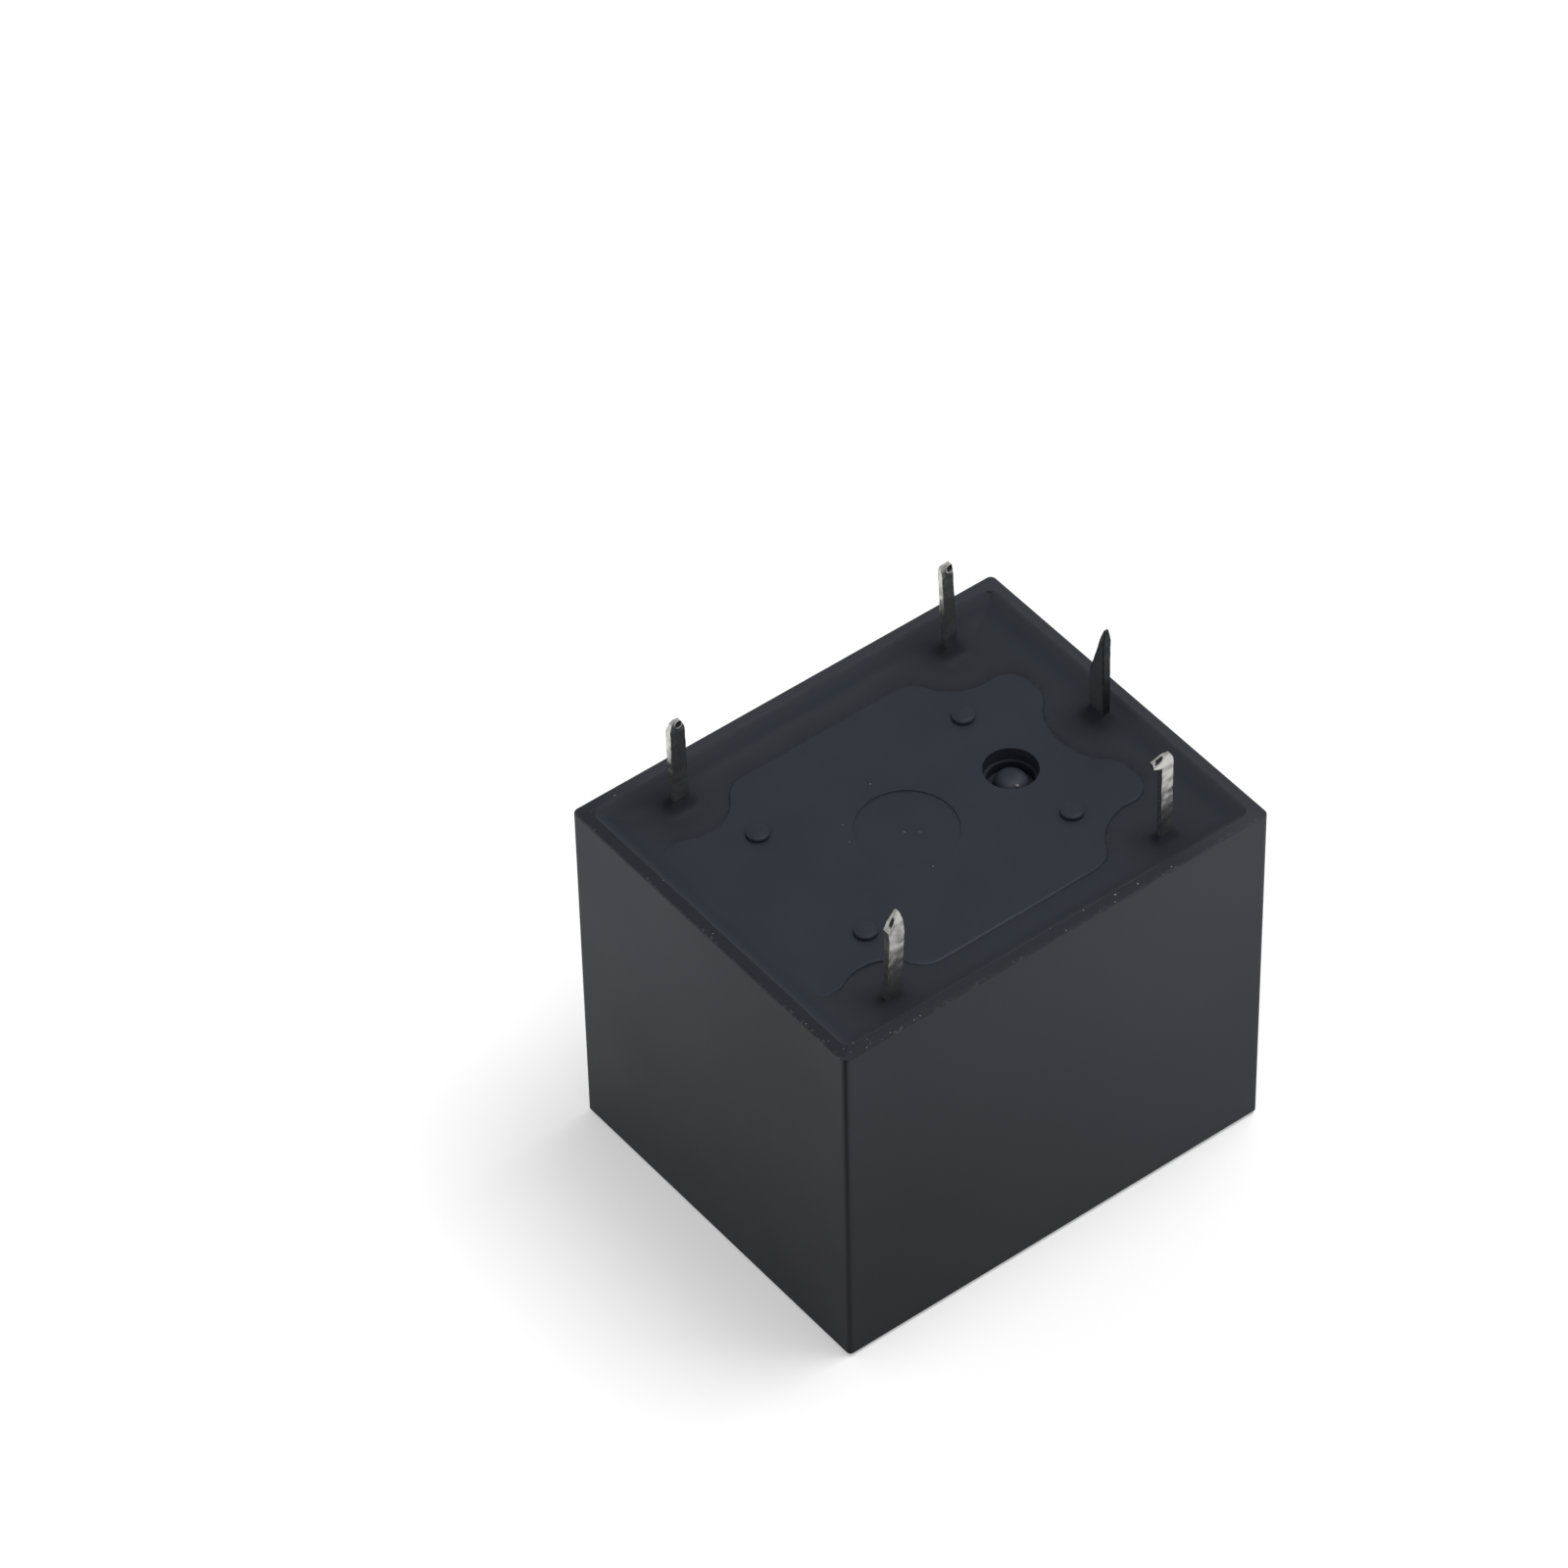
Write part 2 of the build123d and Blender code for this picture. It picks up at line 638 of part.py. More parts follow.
def make_bobbin():
    """Tube between two flanges, with a boss at each coil pin."""
    flange = Pos(coil_x, 0) * RectangleRounded(bobbin_length, bobbin_width, bobbin_corner_radius)
    bobbin = extrude(Plane.XY.offset(bobbin_low_z) * flange, pole_flange_thickness)
    bobbin += extrude(Plane.XY.offset(winding_high_z) * flange, base_flange_thickness)
    tube_diameter = core_diameter + 2 * (core_clearance + bobbin_tube_wall)
    bobbin += drum(coil_x, 0, bobbin_low_z, yoke_foot_z, tube_diameter)

    boss_x = around(coil_pin_x, coil_pin_width + 2 * boss_wall)
    for side in (-1, 1):
        boss_y = around(side * pin_y, coil_pin_thickness + 2 * boss_wall)
        bobbin += block(boss_x, boss_y, (boss_low_z, floor_z)) - coil_post(side)

    # Bevel that clears the inside of the yoke's bend
    bevel = Polygon(
        (bobbin_far_x, yoke_foot_z),
        (bobbin_far_x - yoke_bend_radius, yoke_foot_z),
        (bobbin_far_x, yoke_foot_z - yoke_bend_radius),
        align=None,
    )
    bobbin -= extrude(Plane.XZ * bevel, bobbin_width / 2, both=True)

    bore = core_diameter + 2 * core_clearance
    bobbin -= drum(coil_x, 0, bobbin_low_z, yoke_foot_z, bore)
    sink_diameter = pole_diameter + 2 * core_clearance
    return bobbin - drum(coil_x, 0, bobbin_low_z, pole_z + pole_thickness, sink_diameter)


def make_coil_winding():
    """Enamelled wire wound as one dense ring."""
    tube_diameter = core_diameter + 2 * (core_clearance + bobbin_tube_wall)
    winding = drum(coil_x, 0, winding_low_z, winding_high_z, 2 * winding_radius)
    return winding - drum(coil_x, 0, winding_low_z, winding_high_z, tube_diameter)


def make_coil_lead(side):
    """The winding's end: off the coil, across to the post and wrapped round it."""
    wire_radius = lead_diameter / 2
    wire = Rot(0, 0, 180 / lead_facets) * RegularPolygon(wire_radius, lead_facets)
    coil_path_radius = winding_radius + wire_radius
    post_path_radius = hypot(coil_pin_width, coil_pin_thickness) / 2 + wire_radius
    span_x = coil_pin_x - coil_x
    span = hypot(span_x, pin_y)
    lean_angle = degrees(acos((coil_path_radius - post_path_radius) / span))
    leave_angle = degrees(atan2(pin_y, span_x)) + lean_angle
    arc = CenterArc((0, 0), coil_path_radius, leave_angle, lead_wrap_angle)
    toward = Vector(cos(radians(leave_angle)), sin(radians(leave_angle)))
    leave_point = toward * coil_path_radius
    meet_point = Vector(span_x, pin_y) + toward * post_path_radius
    run = Line(leave_point, meet_point)
    section_plane = Plane(origin=meet_point, x_dir=toward, z_dir=leave_point - meet_point)
    lead = sweep(section_plane * wire, run + arc)

    turns = Sketch()
    for turn in range(lead_turns):
        turns += Pos(post_path_radius, -turn * lead_pitch) * wire
    lead += Pos(span_x, pin_y) * revolve(Plane.XZ * turns, Axis.Z)
    lead = Pos(coil_x, 0, lead_z) * lead
    return lead if side > 0 else mirror(lead, Plane.XZ)


def make_solder(side):
    """Solder drop on the end of a wrapped post."""
    drop = Pos(coil_pin_x, side * pin_y, post_low_z) * Sphere(solder_diameter / 2)
    return drop - coil_post(side)


parts = {
    "cover": make_cover(),
    "base": make_base(),
    "sealing_resin": make_sealing_resin(),
    "nc_terminal": make_contact_terminal(1, nc_arm_z, nc_pin_lean, nc_pin_tip),
    "no_terminal": make_contact_terminal(-1, no_arm_z, no_pin_lean, no_pin_tip),
    "common_terminal": make_common_terminal(),
    "coil_terminal_a": make_coil_terminal(1, coil_pin_a_lean, coil_pin_a_tip, coil_pin_a_excess),
    "coil_terminal_b": make_coil_terminal(-1, coil_pin_b_lean, coil_pin_b_tip, 0),
    "nc_contact": make_fixed_contact(nc_arm_z, 1),
    "no_contact": make_fixed_contact(no_arm_z, -1),
    "moving_contact": make_moving_contact(),
    "contact_spring": make_contact_spring(),
    "armature": make_armature(),
    "yoke": make_yoke(),
    "iron_core": make_iron_core(),
    "bobbin": make_bobbin(),
    "coil_winding": make_coil_winding(),
    "coil_lead_start": make_coil_lead(1),
    "coil_lead_finish": make_coil_lead(-1),
    "solder_start": make_solder(1),
    "solder_finish": make_solder(-1),
}

for name, shape in parts.items():
    export_step(shape, f"parts/{name}.step")
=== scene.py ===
import json
import random
from math import cos, exp, hypot, radians, sin

import bpy
from mathutils import Matrix, Vector, kdtree, noise


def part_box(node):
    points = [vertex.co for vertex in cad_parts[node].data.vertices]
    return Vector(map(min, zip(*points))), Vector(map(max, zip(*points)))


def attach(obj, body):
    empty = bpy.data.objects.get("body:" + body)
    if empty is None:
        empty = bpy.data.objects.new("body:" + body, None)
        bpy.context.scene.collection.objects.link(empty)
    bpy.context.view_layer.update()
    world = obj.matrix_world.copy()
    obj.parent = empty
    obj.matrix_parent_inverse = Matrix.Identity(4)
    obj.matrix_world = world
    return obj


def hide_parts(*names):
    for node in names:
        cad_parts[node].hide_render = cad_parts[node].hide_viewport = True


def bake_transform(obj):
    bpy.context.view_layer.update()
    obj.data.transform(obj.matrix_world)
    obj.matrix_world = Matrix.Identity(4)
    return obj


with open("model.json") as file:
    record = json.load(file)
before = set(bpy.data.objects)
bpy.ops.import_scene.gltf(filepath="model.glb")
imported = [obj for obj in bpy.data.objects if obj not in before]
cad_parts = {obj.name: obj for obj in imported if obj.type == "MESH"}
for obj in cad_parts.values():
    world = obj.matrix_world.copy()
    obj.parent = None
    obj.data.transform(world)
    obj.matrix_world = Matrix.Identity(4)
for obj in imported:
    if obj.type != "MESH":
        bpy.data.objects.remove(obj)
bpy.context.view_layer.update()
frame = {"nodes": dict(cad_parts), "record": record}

# Looks of a sealed power relay that stands on its cover with the pins up. The script's unit is the
# metre. The origin is the centre of the cover's closed face, X points to the common pin and Z to
# the pins' tips.
MM = 0.001

# Levels, and half lengths and half widths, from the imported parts
rim_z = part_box("cover")[1].z
cover_half_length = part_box("cover")[1].x
cover_half_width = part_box("cover")[1].y
mouth_half_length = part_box("sealing_resin")[1].x
mouth_half_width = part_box("sealing_resin")[1].y
resin_low_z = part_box("sealing_resin")[0].z
PLATEAU_DROP = 0.45 * MM
RESIN_DROP = 0.54 * MM
plateau_z = rim_z - PLATEAU_DROP
resin_z = rim_z - RESIN_DROP

# Base: the rounding of the plateau's edge, the vent with its nib, and the round mark. The second
# radius of each is where its painted light has faded out.
PLATEAU_ROUND = 0.1 * MM
VENT_X = 4.1 * MM
NIB_RADII = (0.66 * MM, 0.75 * MM)
NIB_LIGHT_SHARE = 0.7
MARK_X = -0.6 * MM
MARK_RADII = (1.95 * MM, 2 * MM)
MARK_DEPTH = 0.05 * MM

# Pips on the plateau, whose dished tops are filled by a low crown
PIP_PLACES = [(x * MM, y * MM) for x in (-4.85, 4.4) for y in (-3.05, 3.05)]
PIP_HEIGHT = 0.15 * MM
CROWN_RADIUS = 0.435 * MM
CROWN_RISE = 0.1 * MM
CROWN_DROP = 0.045 * MM
CROWN_SEGMENTS = 40
CROWN_RINGS = 20

# Resin surface: its grid, its overlap with the cover's wall, the window under the plateau (from X,
# to X, and half width), and its waves
RESIN_GRID = 0.08 * MM
RESIN_OVERLAP = 0.05 * MM
RESIN_WINDOW = (-6.9 * MM, 5.2 * MM, 3.4 * MM)
WAVE_HEIGHT = 0.02 * MM
WAVE_LENGTH = 2.4 * MM

# Creep of the resin: a steep rise and a wide swell, at the rim and round each pin
RIM_RISE = 0.3 * MM
RIM_REACH = 0.3 * MM
RIM_SWELL = 0.24 * MM
END_SWELL_REACH = 0.9 * MM
SIDE_SWELL_REACH = 0.65 * MM
PIN_RISES = {
    "nc_terminal": 0.42 * MM,
    "no_terminal": 0.1 * MM,
    "common_terminal": 0.42 * MM,
    "coil_terminal_a": 0.42 * MM,
    "coil_terminal_b": 0.3 * MM,
}
PIN_REACH = 0.17 * MM
PIN_SWELL = 0.05 * MM
PIN_SWELL_REACH = 0.45 * MM

# Painted shade on the resin: round each pin, and along the plateau's far edge, where it is stronger
# at the common pin's end
PIN_SHADE_REACH = 0.62 * MM
FAR_SIDE = Vector((0.6, 0.8, 0))
FAR_SIDE_FADE = (0.1, 0.6)
EDGE_SHADE = 0.5
EDGE_SHADE_REACH = 0.28 * MM
EDGE_SHADE_START = -7.6 * MM
COMMON_END_SHADE = 0.95
COMMON_END_FADE = (2.5 * MM, 4.5 * MM)
EDGE_STEP = 0.1 * MM
EDGE_LEVEL_GAP = 0.002 * MM

# Tinned pins: how finely the blades are remeshed, in millimetres, how far they run down into the
# resin, and how lumpy the tin is. The inset keeps the lumps within the blade's size.
BLADE_VOXEL = 0.026
BLADE_OVERLAP = 0.1 * MM
TIN_LUMPS = 0.014 * MM
TIN_LUMP_SIZE = 0.3 * MM
TIN_LUMP_INSET = 0.6

# Hollows that the cropping left in the tips' near sides: offset along X from the pin's middle, drop
# from the tip, half length, half width, and lean of the long axis from Z in degrees
TIP_HOLLOWS = {
    "nc_terminal": (0.0, 0.2 * MM, 0.16 * MM, 0.13 * MM, 70),
    "no_terminal": (-0.1 * MM, 0.36 * MM, 0.34 * MM, 0.12 * MM, 27),
    "coil_terminal_a": (-0.06 * MM, 0.22 * MM, 0.17 * MM, 0.14 * MM, 60),
    "coil_terminal_b": (-0.38 * MM, 0.12 * MM, 0.24 * MM, 0.1 * MM, 68),
}
HOLLOW_DEPTH = 0.07 * MM

# Burr round a hollow: its height, and its middle and width as shares of the hollow's size
BURR_HEIGHT = 0.02 * MM
BURR_MIDDLE = 1.1
BURR_WIDTH = 0.25
CLEAR_OF_HOLLOW = 9

# Each pin's coat of resin, which runs on up the pin as painted shade: its height at the edge of low
# X and at the edge of high X, the fade above it, its full share, its least share, and its least
# share on the narrow near side
PIN_COATS_AND_SHADE = {
    "nc_terminal": (0.4 * MM, 0.8 * MM, 1.9 * MM, 0.8, 0.0, 0.12),
    "no_terminal": (0.3 * MM, 0.9 * MM, 1.6 * MM, 0.5, 0.15, 0.15),
    "common_terminal": (0.4 * MM, 0.4 * MM, 3.2 * MM, 0.84, 0.75, 0.98),
    "coil_terminal_a": (0.4 * MM, 0.8 * MM, 1.9 * MM, 0.85, 0.0, 0.15),
    "coil_terminal_b": (0.1 * MM, 0.7 * MM, 1.1 * MM, 0.62, 0.07, 0.07),
}
# The ragged edge of the coat and its painted shade, and the size of its rags; where the near side's
# painted shade starts, as a share of the half width; how far the painted shade in the tip's hollow
# fades in from its edge, as a share of its size; and how it all fades out below the resin
COAT_AND_SHADE_RAGGEDNESS = 0.3 * MM
COAT_AND_SHADE_RAG_SIZE = 0.4 * MM
NEAR_SIDE_SHADE_START = 0.6
HOLLOW_SHADE_FADE = 0.25
COAT_AND_SHADE_LOW_FADE = 0.3 * MM

# Coil winding
WIRE_DIAMETER = 0.14 * MM
WIRE_SIDES = 6
TURN_FACETS = 72

# Cuts that split each face of the contact spring, whose bend lies between its riveted leg and its
# arm
SPRING_CUTS = 2

# Crumbs of resin and moulding, at x, y and radius in millimetres: on the rim, on the plateau, in
# the round mark and on the vent's nib, where the pale crumb also serves as a painted highlight
RIM_CRUMBS = (
    (2.76, -7.41, 0.075), (3.71, -7.5, 0.06), (1.42, -7.3, 0.05), (0.0, -7.21, 0.045),
    (0.34, -7.66, 0.05), (5.14, -7.6, 0.05), (2.53, -7.68, 0.045), (-6.11, -7.66, 0.05),
    (-6.41, -7.68, 0.04), (-8.59, -7.05, 0.045), (-9.12, -7.22, 0.035), (-8.21, -7.36, 0.03),
    (-8.47, -7.66, 0.045), (-8.24, -7.58, 0.03), (-7.4, -7.62, 0.04), (-9.41, -5.49, 0.045),
    (-9.05, 3.01, 0.04), (-9.27, -0.1, 0.04), (-7.85, 7.38, 0.05), (-9.04, -7.5, 0.03),
    (-9.3, -6.6, 0.035),
)
BASE_CRUMBS = (
    (-0.24, 2.52, 0.045), (-2.25, 1.54, 0.045), (-2.57, 0.75, 0.03), (-1.04, -2.02, 0.04),
)
MARK_CRUMBS = ((-0.75, -0.04, 0.04), (-0.32, -0.39, 0.035))
NIB_GLINT_CRUMBS = ((4.0, -0.48, 0.12),)
NIB_GLINT_DROP = 0.41 * MM

# Form of a crumb: a ball of even size, roughened, pressed flat and made a little smaller. It keeps
# its reach away from the cover's outer faces.
CRUMB_SEED = 4
CRUMB_SHIFT = 50
CRUMB_EVEN = 0.8
CRUMB_ROUGH = 0.4
CRUMB_ROUGH_SIZE = 1.4
CRUMB_SQUASH = 0.5
CRUMB_SHARE = 0.72
CRUMB_REACH = 1.2

# Largest turn between two faces that are shaded as one smooth surface, in degrees
PLAIN_TURN = 35
RESIN_TURN = 40
ROUND_TURN = 60
CRUMB_TURN = 30

# Vertices of a CAD node's mesh that lie nearer than this are one
MERGE_GAP = 0.001 * MM

# Satin metals: dark tone, light tone, roughness and size of the blotches
SATIN_METALS = {
    "contact_silver": ((0.7, 0.69, 0.66), (0.84, 0.83, 0.8), 0.25, 0.5 * MM),
    "spring_bronze": ((0.6, 0.38, 0.22), (0.75, 0.52, 0.34), 0.25, 1.0 * MM),
    "plated_iron": ((0.42, 0.42, 0.41), (0.58, 0.58, 0.56), 0.3, 1.2 * MM),
    "enamelled_copper": ((0.5, 0.2, 0.08), (0.68, 0.32, 0.15), 0.2, 0.8 * MM),
    "solder": ((0.5, 0.5, 0.5), (0.66, 0.66, 0.65), 0.3, 0.3 * MM),
}

# Camera, as the photograph was taken: angles in degrees, and lens and sensor in millimetres
CAMERA_TURN = -37.137
CAMERA_RISE = 45.451
CAMERA_ROLL = 1.279
CAMERA_DISTANCE = 331.524 * MM
CAMERA_AIM_ACROSS = 5.02 * MM
CAMERA_AIM_UP = -11.846 * MM
CAMERA_LENS = 209.658
SENSOR_WIDTH = 36

# Studio: the white room, the soft box overhead with its power in watts, and the floor, a hair
# below the cover's face so that the two don't share a plane
ROOM_STRENGTH = 0.58
LAMP_PLACE = Vector((0.12, -0.05, 0.4))
LAMP_SIZE = 0.2
LAMP_POWER = 0.85
FLOOR_SIZE = 6
FLOOR_GAP = 0.01 * MM
FLOOR_GLOW = 0.32


class Field:
    """A socket's value that Python's operators turn into Math nodes."""

    def __init__(self, finish, socket):
        self.finish = finish
        self.socket = socket

    def math(self, operation, *values):
        return self.finish.node("ShaderNodeMath", {"operation": operation}, dict(enumerate(values)))

    def __add__(self, other):
        return self.math("ADD", self, other)

    def __radd__(self, other):
        return self.math("ADD", other, self)

    def __sub__(self, other):
        return self.math("SUBTRACT", self, other)

    def __rsub__(self, other):
        return self.math("SUBTRACT", other, self)

    def __mul__(self, other):
        return self.math("MULTIPLY", self, other)

    def __rmul__(self, other):
        return self.math("MULTIPLY", other, self)

    def __abs__(self):
        return self.math("ABSOLUTE", self)

    def at_least(self, other):
        """The larger of this value and another."""
        return self.math("MAXIMUM", self, other)


class Finish:
    """A material's nodes, built by one method and joined by expressions on fields."""

    def __init__(self, name):
        self.material = bpy.data.materials.new(name)
        self.material.use_nodes = True
        self.tree = self.material.node_tree
        self.surface = self.tree.nodes["Principled BSDF"]
        self.place = self.node("ShaderNodeTexCoord", {}, {}, "Object")

    def set(self, socket, value):
        """Links a field to a socket, or writes a plain value to it."""
        if isinstance(value, Field):
            self.tree.links.new(value.socket, socket)
        else:
            socket.default_value = value

    def node(self, kind, settings, sockets, output=0):
        """Adds a node, writes its settings, then its sockets, and returns one output."""
        node = self.tree.nodes.new(kind)
        for name, value in settings.items():
            setattr(node, name, value)
        for name, value in sockets.items():
            self.set(node.inputs[name], value)
        return Field(self, node.outputs[output])

    def shader(self, **sockets):
        """Writes the main shader's sockets, whose names come with underscores for spaces."""
        for name, value in sockets.items():
            self.set(self.surface.inputs[name.replace("_", " ")], value)

    def noise(self, size, detail, place=None):
        """Soft noise from 0 to 1 with spots of one size."""
        sockets = {"Vector": place or self.place, "Scale": 1 / size, "Detail": detail}
        return self.node("ShaderNodeTexNoise", {}, sockets, "Fac")

    def stretched(self, x, y, z):
        """Object coordinates, pressed together along each axis by a factor."""
        return self.node("ShaderNodeMapping", {}, {"Vector": self.place, "Scale": (x, y, z)})

    def along(self, axis):
        """One of the object coordinates."""
        return self.node("ShaderNodeSeparateXYZ", {}, {"Vector": self.place}, axis)

    def painted(self, name):
        """A value that the piece's mesh carries at its vertices."""
        return self.node("ShaderNodeAttribute", {"attribute_name": name}, {}, "Fac")

    def step(self, value, low, high):
        """0 at low, 1 at high, with a smooth rise between."""
        sockets = {"Value": value, "From Min": low, "From Max": high}
        return self.node("ShaderNodeMapRange", {"interpolation_type": "SMOOTHSTEP"}, sockets)

    def round_spot(self, x, radius, clear_radius):
        """1 within a radius of a middle on the X axis, seen along Z, and 0 from a larger one on."""
        length = self.along("X") - x
        width = self.along("Y")
        return self.step(length * length + width * width, clear_radius**2, radius**2)

    def mix(self, share, first, second):
        """A colour between two others."""
        sockets = {0: share, 6: first, 7: second}
        return self.node("ShaderNodeMix", {"data_type": "RGBA"}, sockets, 2)

    def bump(self, height):
        """A normal from a height in metres."""
        return self.node("ShaderNodeBump", {}, {"Height": height, "Distance": 1.0, "Strength": 1.0})


def colour(red, green, blue):
    """A colour with no transparency."""
    return (red, green, blue, 1)


def moulded_cover():
    """Satin near-black moulding whose top leans out and is chafed. As painted light and shade it is
    paler towards the rim and away from the front corner, nearly black down the vertical corners and
    paler on the rim's far sides, and its chafed edge also serves as a painted highlight.
    """
    finish = Finish("moulded_cover")
    clouds = finish.noise(5 * MM, 3)
    grain = finish.noise(0.12 * MM, 2)
    chip_and_glint_specks = finish.noise(0.16 * MM, 3)
    wear_and_glint_runs = finish.noise(1.3 * MM, 2)
    height = finish.along("Z")
    away = finish.along("X") + finish.along("Y")
    x_side = abs(finish.along("X")) - mouth_half_length
    y_side = abs(finish.along("Y")) - mouth_half_width
    outward = x_side.at_least(y_side).at_least(0)
    lean = 0.16 * outward * finish.step(height, 2 * MM, rim_z - 1 * MM)
    # Painted shade: the faces are darker towards the floor and towards the front corner, with some
    # random clouds
    painted_light_by_height = finish.step(height, 0.5 * MM, rim_z)
    painted_light_from_corner = finish.step(away, -18 * MM, 3 * MM)
    low_tone = colour(0.011, 0.0115, 0.0135)
    high_tone = colour(0.0505, 0.0525, 0.063)
    plain = finish.mix(0.4 * painted_light_by_height + 0.5 * painted_light_from_corner + 0.1 * clouds, low_tone, high_tone)
    # Painted shade: the vertical corners are nearly black
    x_corner = finish.step(x_side, 0.31 * MM, 0.43 * MM)
    y_corner = finish.step(y_side, 0.31 * MM, 0.43 * MM)
    plain = finish.mix(x_corner * y_corner, plain, colour(0.002, 0.0021, 0.0025))
    # Painted light: the rim's top is paler on the far sides than on the near ones
    far = finish.step(away, -2.5 * MM, 1.5 * MM)
    rim_tone = finish.mix(far, colour(0.0195, 0.021, 0.0265), colour(0.034, 0.0365, 0.0445))
    rim_top = finish.step(height, rim_z - 0.03 * MM, rim_z - 0.005 * MM)
    plain = finish.mix(rim_top, plain, rim_tone)
    # Chafe along the rim's outer edge, which also serves as a painted highlight there
    edge_top = finish.step(height, rim_z - 0.14 * MM, rim_z - 0.05 * MM)
    edge = edge_top * finish.step(outward, 0.36 * MM, 0.44 * MM)
    wear_and_glint = edge * finish.step(chip_and_glint_specks, 0.5, 0.62) * finish.step(wear_and_glint_runs, 0.42, 0.6)
    finish.shader(
        Base_Color=finish.mix(wear_and_glint, plain, colour(0.055, 0.057, 0.064)),
        Roughness=0.42 + 0.14 * clouds,
        Specular_IOR_Level=0.1,
        Normal=finish.bump(0.002 * MM * grain - lean),
    )
    return finish.material


def moulded_base():
    """Bluish charcoal moulding, cloudy, and paler as painted light on the plateau's rounded near
    edge, on the mark's wall and on the near half of the nib.
    """
    finish = Finish("moulded_base")
    clouds = finish.noise(3 * MM, 4)
    tint = finish.noise(1.6 * MM, 2)
    grain = finish.noise(0.1 * MM, 2)
    height = finish.along("Z")
    width = finish.along("Y")
    rounded = finish.step(height, plateau_z - 0.004 * MM, plateau_z - 0.014 * MM)
    # Painted highlight on the rounded edge of the plateau's near side
    edge_highlight_run = finish.step(finish.along("X"), 5 * MM, -0.5 * MM)
    painted_edge_highlight = rounded * edge_highlight_run * finish.step(width, -4.5 * MM, -5.5 * MM)
    # Painted light on the near half of the vent's nib
    nib = finish.round_spot(VENT_X, *NIB_RADII) * finish.step(width, 0.1 * MM, -0.4 * MM)
    # Painted light on the mark's wall, which lightens its shade
    mark_floor_z = plateau_z - MARK_DEPTH
    above_floor = finish.step(height, mark_floor_z + 0.001 * MM, mark_floor_z + 0.007 * MM)
    mark_wall_light = rounded * above_floor * finish.round_spot(MARK_X, *MARK_RADII)
    # All the base's painted light, in one pale tone
    pale = painted_edge_highlight + NIB_LIGHT_SHARE * nib + mark_wall_light
    bluish = finish.mix(clouds, colour(0.0195, 0.023, 0.0345), colour(0.029, 0.0325, 0.0445))
    plain = finish.mix(0.35 * tint, bluish, colour(0.026, 0.026, 0.034))
    finish.shader(
        Base_Color=finish.mix(pale, plain, colour(0.052, 0.056, 0.07)),
        Roughness=0.4 + 0.16 * clouds,
        Specular_IOR_Level=0.12,
        Normal=finish.bump(0.0025 * MM * grain),
    )
    return finish.material


def potting_resin():
    """Cured potting resin: darker than the moulding, paler high up its creep, and darkest and dull
    under painted shade round the pins and beyond the plateau's far edge.
    """
    finish = Finish("potting_resin")
    waves = finish.noise(2.2 * MM, 3)
    grain = finish.noise(0.15 * MM, 2)
    painted_shade = finish.painted("painted_shade")
    height = finish.along("Z")
    crept = finish.step(height, resin_z + 0.03 * MM, resin_z + 0.2 * MM)
    # Paler higher up the creep
    high_on_creep = finish.step(height, resin_z + 0.15 * MM, rim_z - 0.05 * MM)
    plain = finish.mix(waves, colour(0.0193, 0.022, 0.0295), colour(0.0253, 0.0285, 0.0378))
    plain = finish.mix(0.85 * high_on_creep, plain, colour(0.037, 0.04, 0.051))
    finish.shader(
        Base_Color=finish.mix(0.68 * painted_shade, plain, colour(0.0105, 0.0108, 0.0125)),
        Roughness=0.34 + 0.14 * waves + 0.2 * painted_shade + 0.3 * crept,
        Specular_IOR_Level=0.12,
        Normal=finish.bump(0.003 * MM * grain),
    )
    return finish.material


def crumbled_resin():
    """Broken resin and moulding flash: pale, with shiny breaks."""
    finish = Finish("crumbled_resin")
    breaks = finish.noise(0.05 * MM, 2)
    finish.shader(
        Base_Color=finish.mix(breaks, colour(0.04, 0.043, 0.05), colour(0.26, 0.27, 0.3)),
        Roughness=0.25 + 0.25 * breaks,
        Normal=finish.bump(0.006 * MM * breaks),
    )
    return finish.material


def natural_plastic():
    """Undyed moulding of the bobbin, faintly mottled."""
    finish = Finish("natural_plastic")
    clouds = finish.noise(2 * MM, 3)
    grain = finish.noise(0.15 * MM, 2)
    finish.shader(
        Base_Color=finish.mix(clouds, colour(0.58, 0.55, 0.47), colour(0.66, 0.64, 0.57)),
        Roughness=0.38 + 0.16 * clouds,
        Normal=finish.bump(0.003 * MM * grain),
    )
    return finish.material


def satin_metal(name, dark, light, rough, blotch):
    """Satin metal with blotches of one size and fine streaks along Z."""
    finish = Finish(name)
    blotches = finish.noise(blotch, 3)
    streaks = finish.noise(0.05 * MM, 2, finish.stretched(1, 1, 0.08))
    finish.shader(
        Base_Color=finish.mix(blotches, colour(*dark), colour(*light)),
        Metallic=1.0,
        Roughness=rough + 0.2 * blotches + 0.12 * streaks,
        Normal=finish.bump(0.003 * MM * streaks + 0.004 * MM * blotches),
    )
    return finish.material


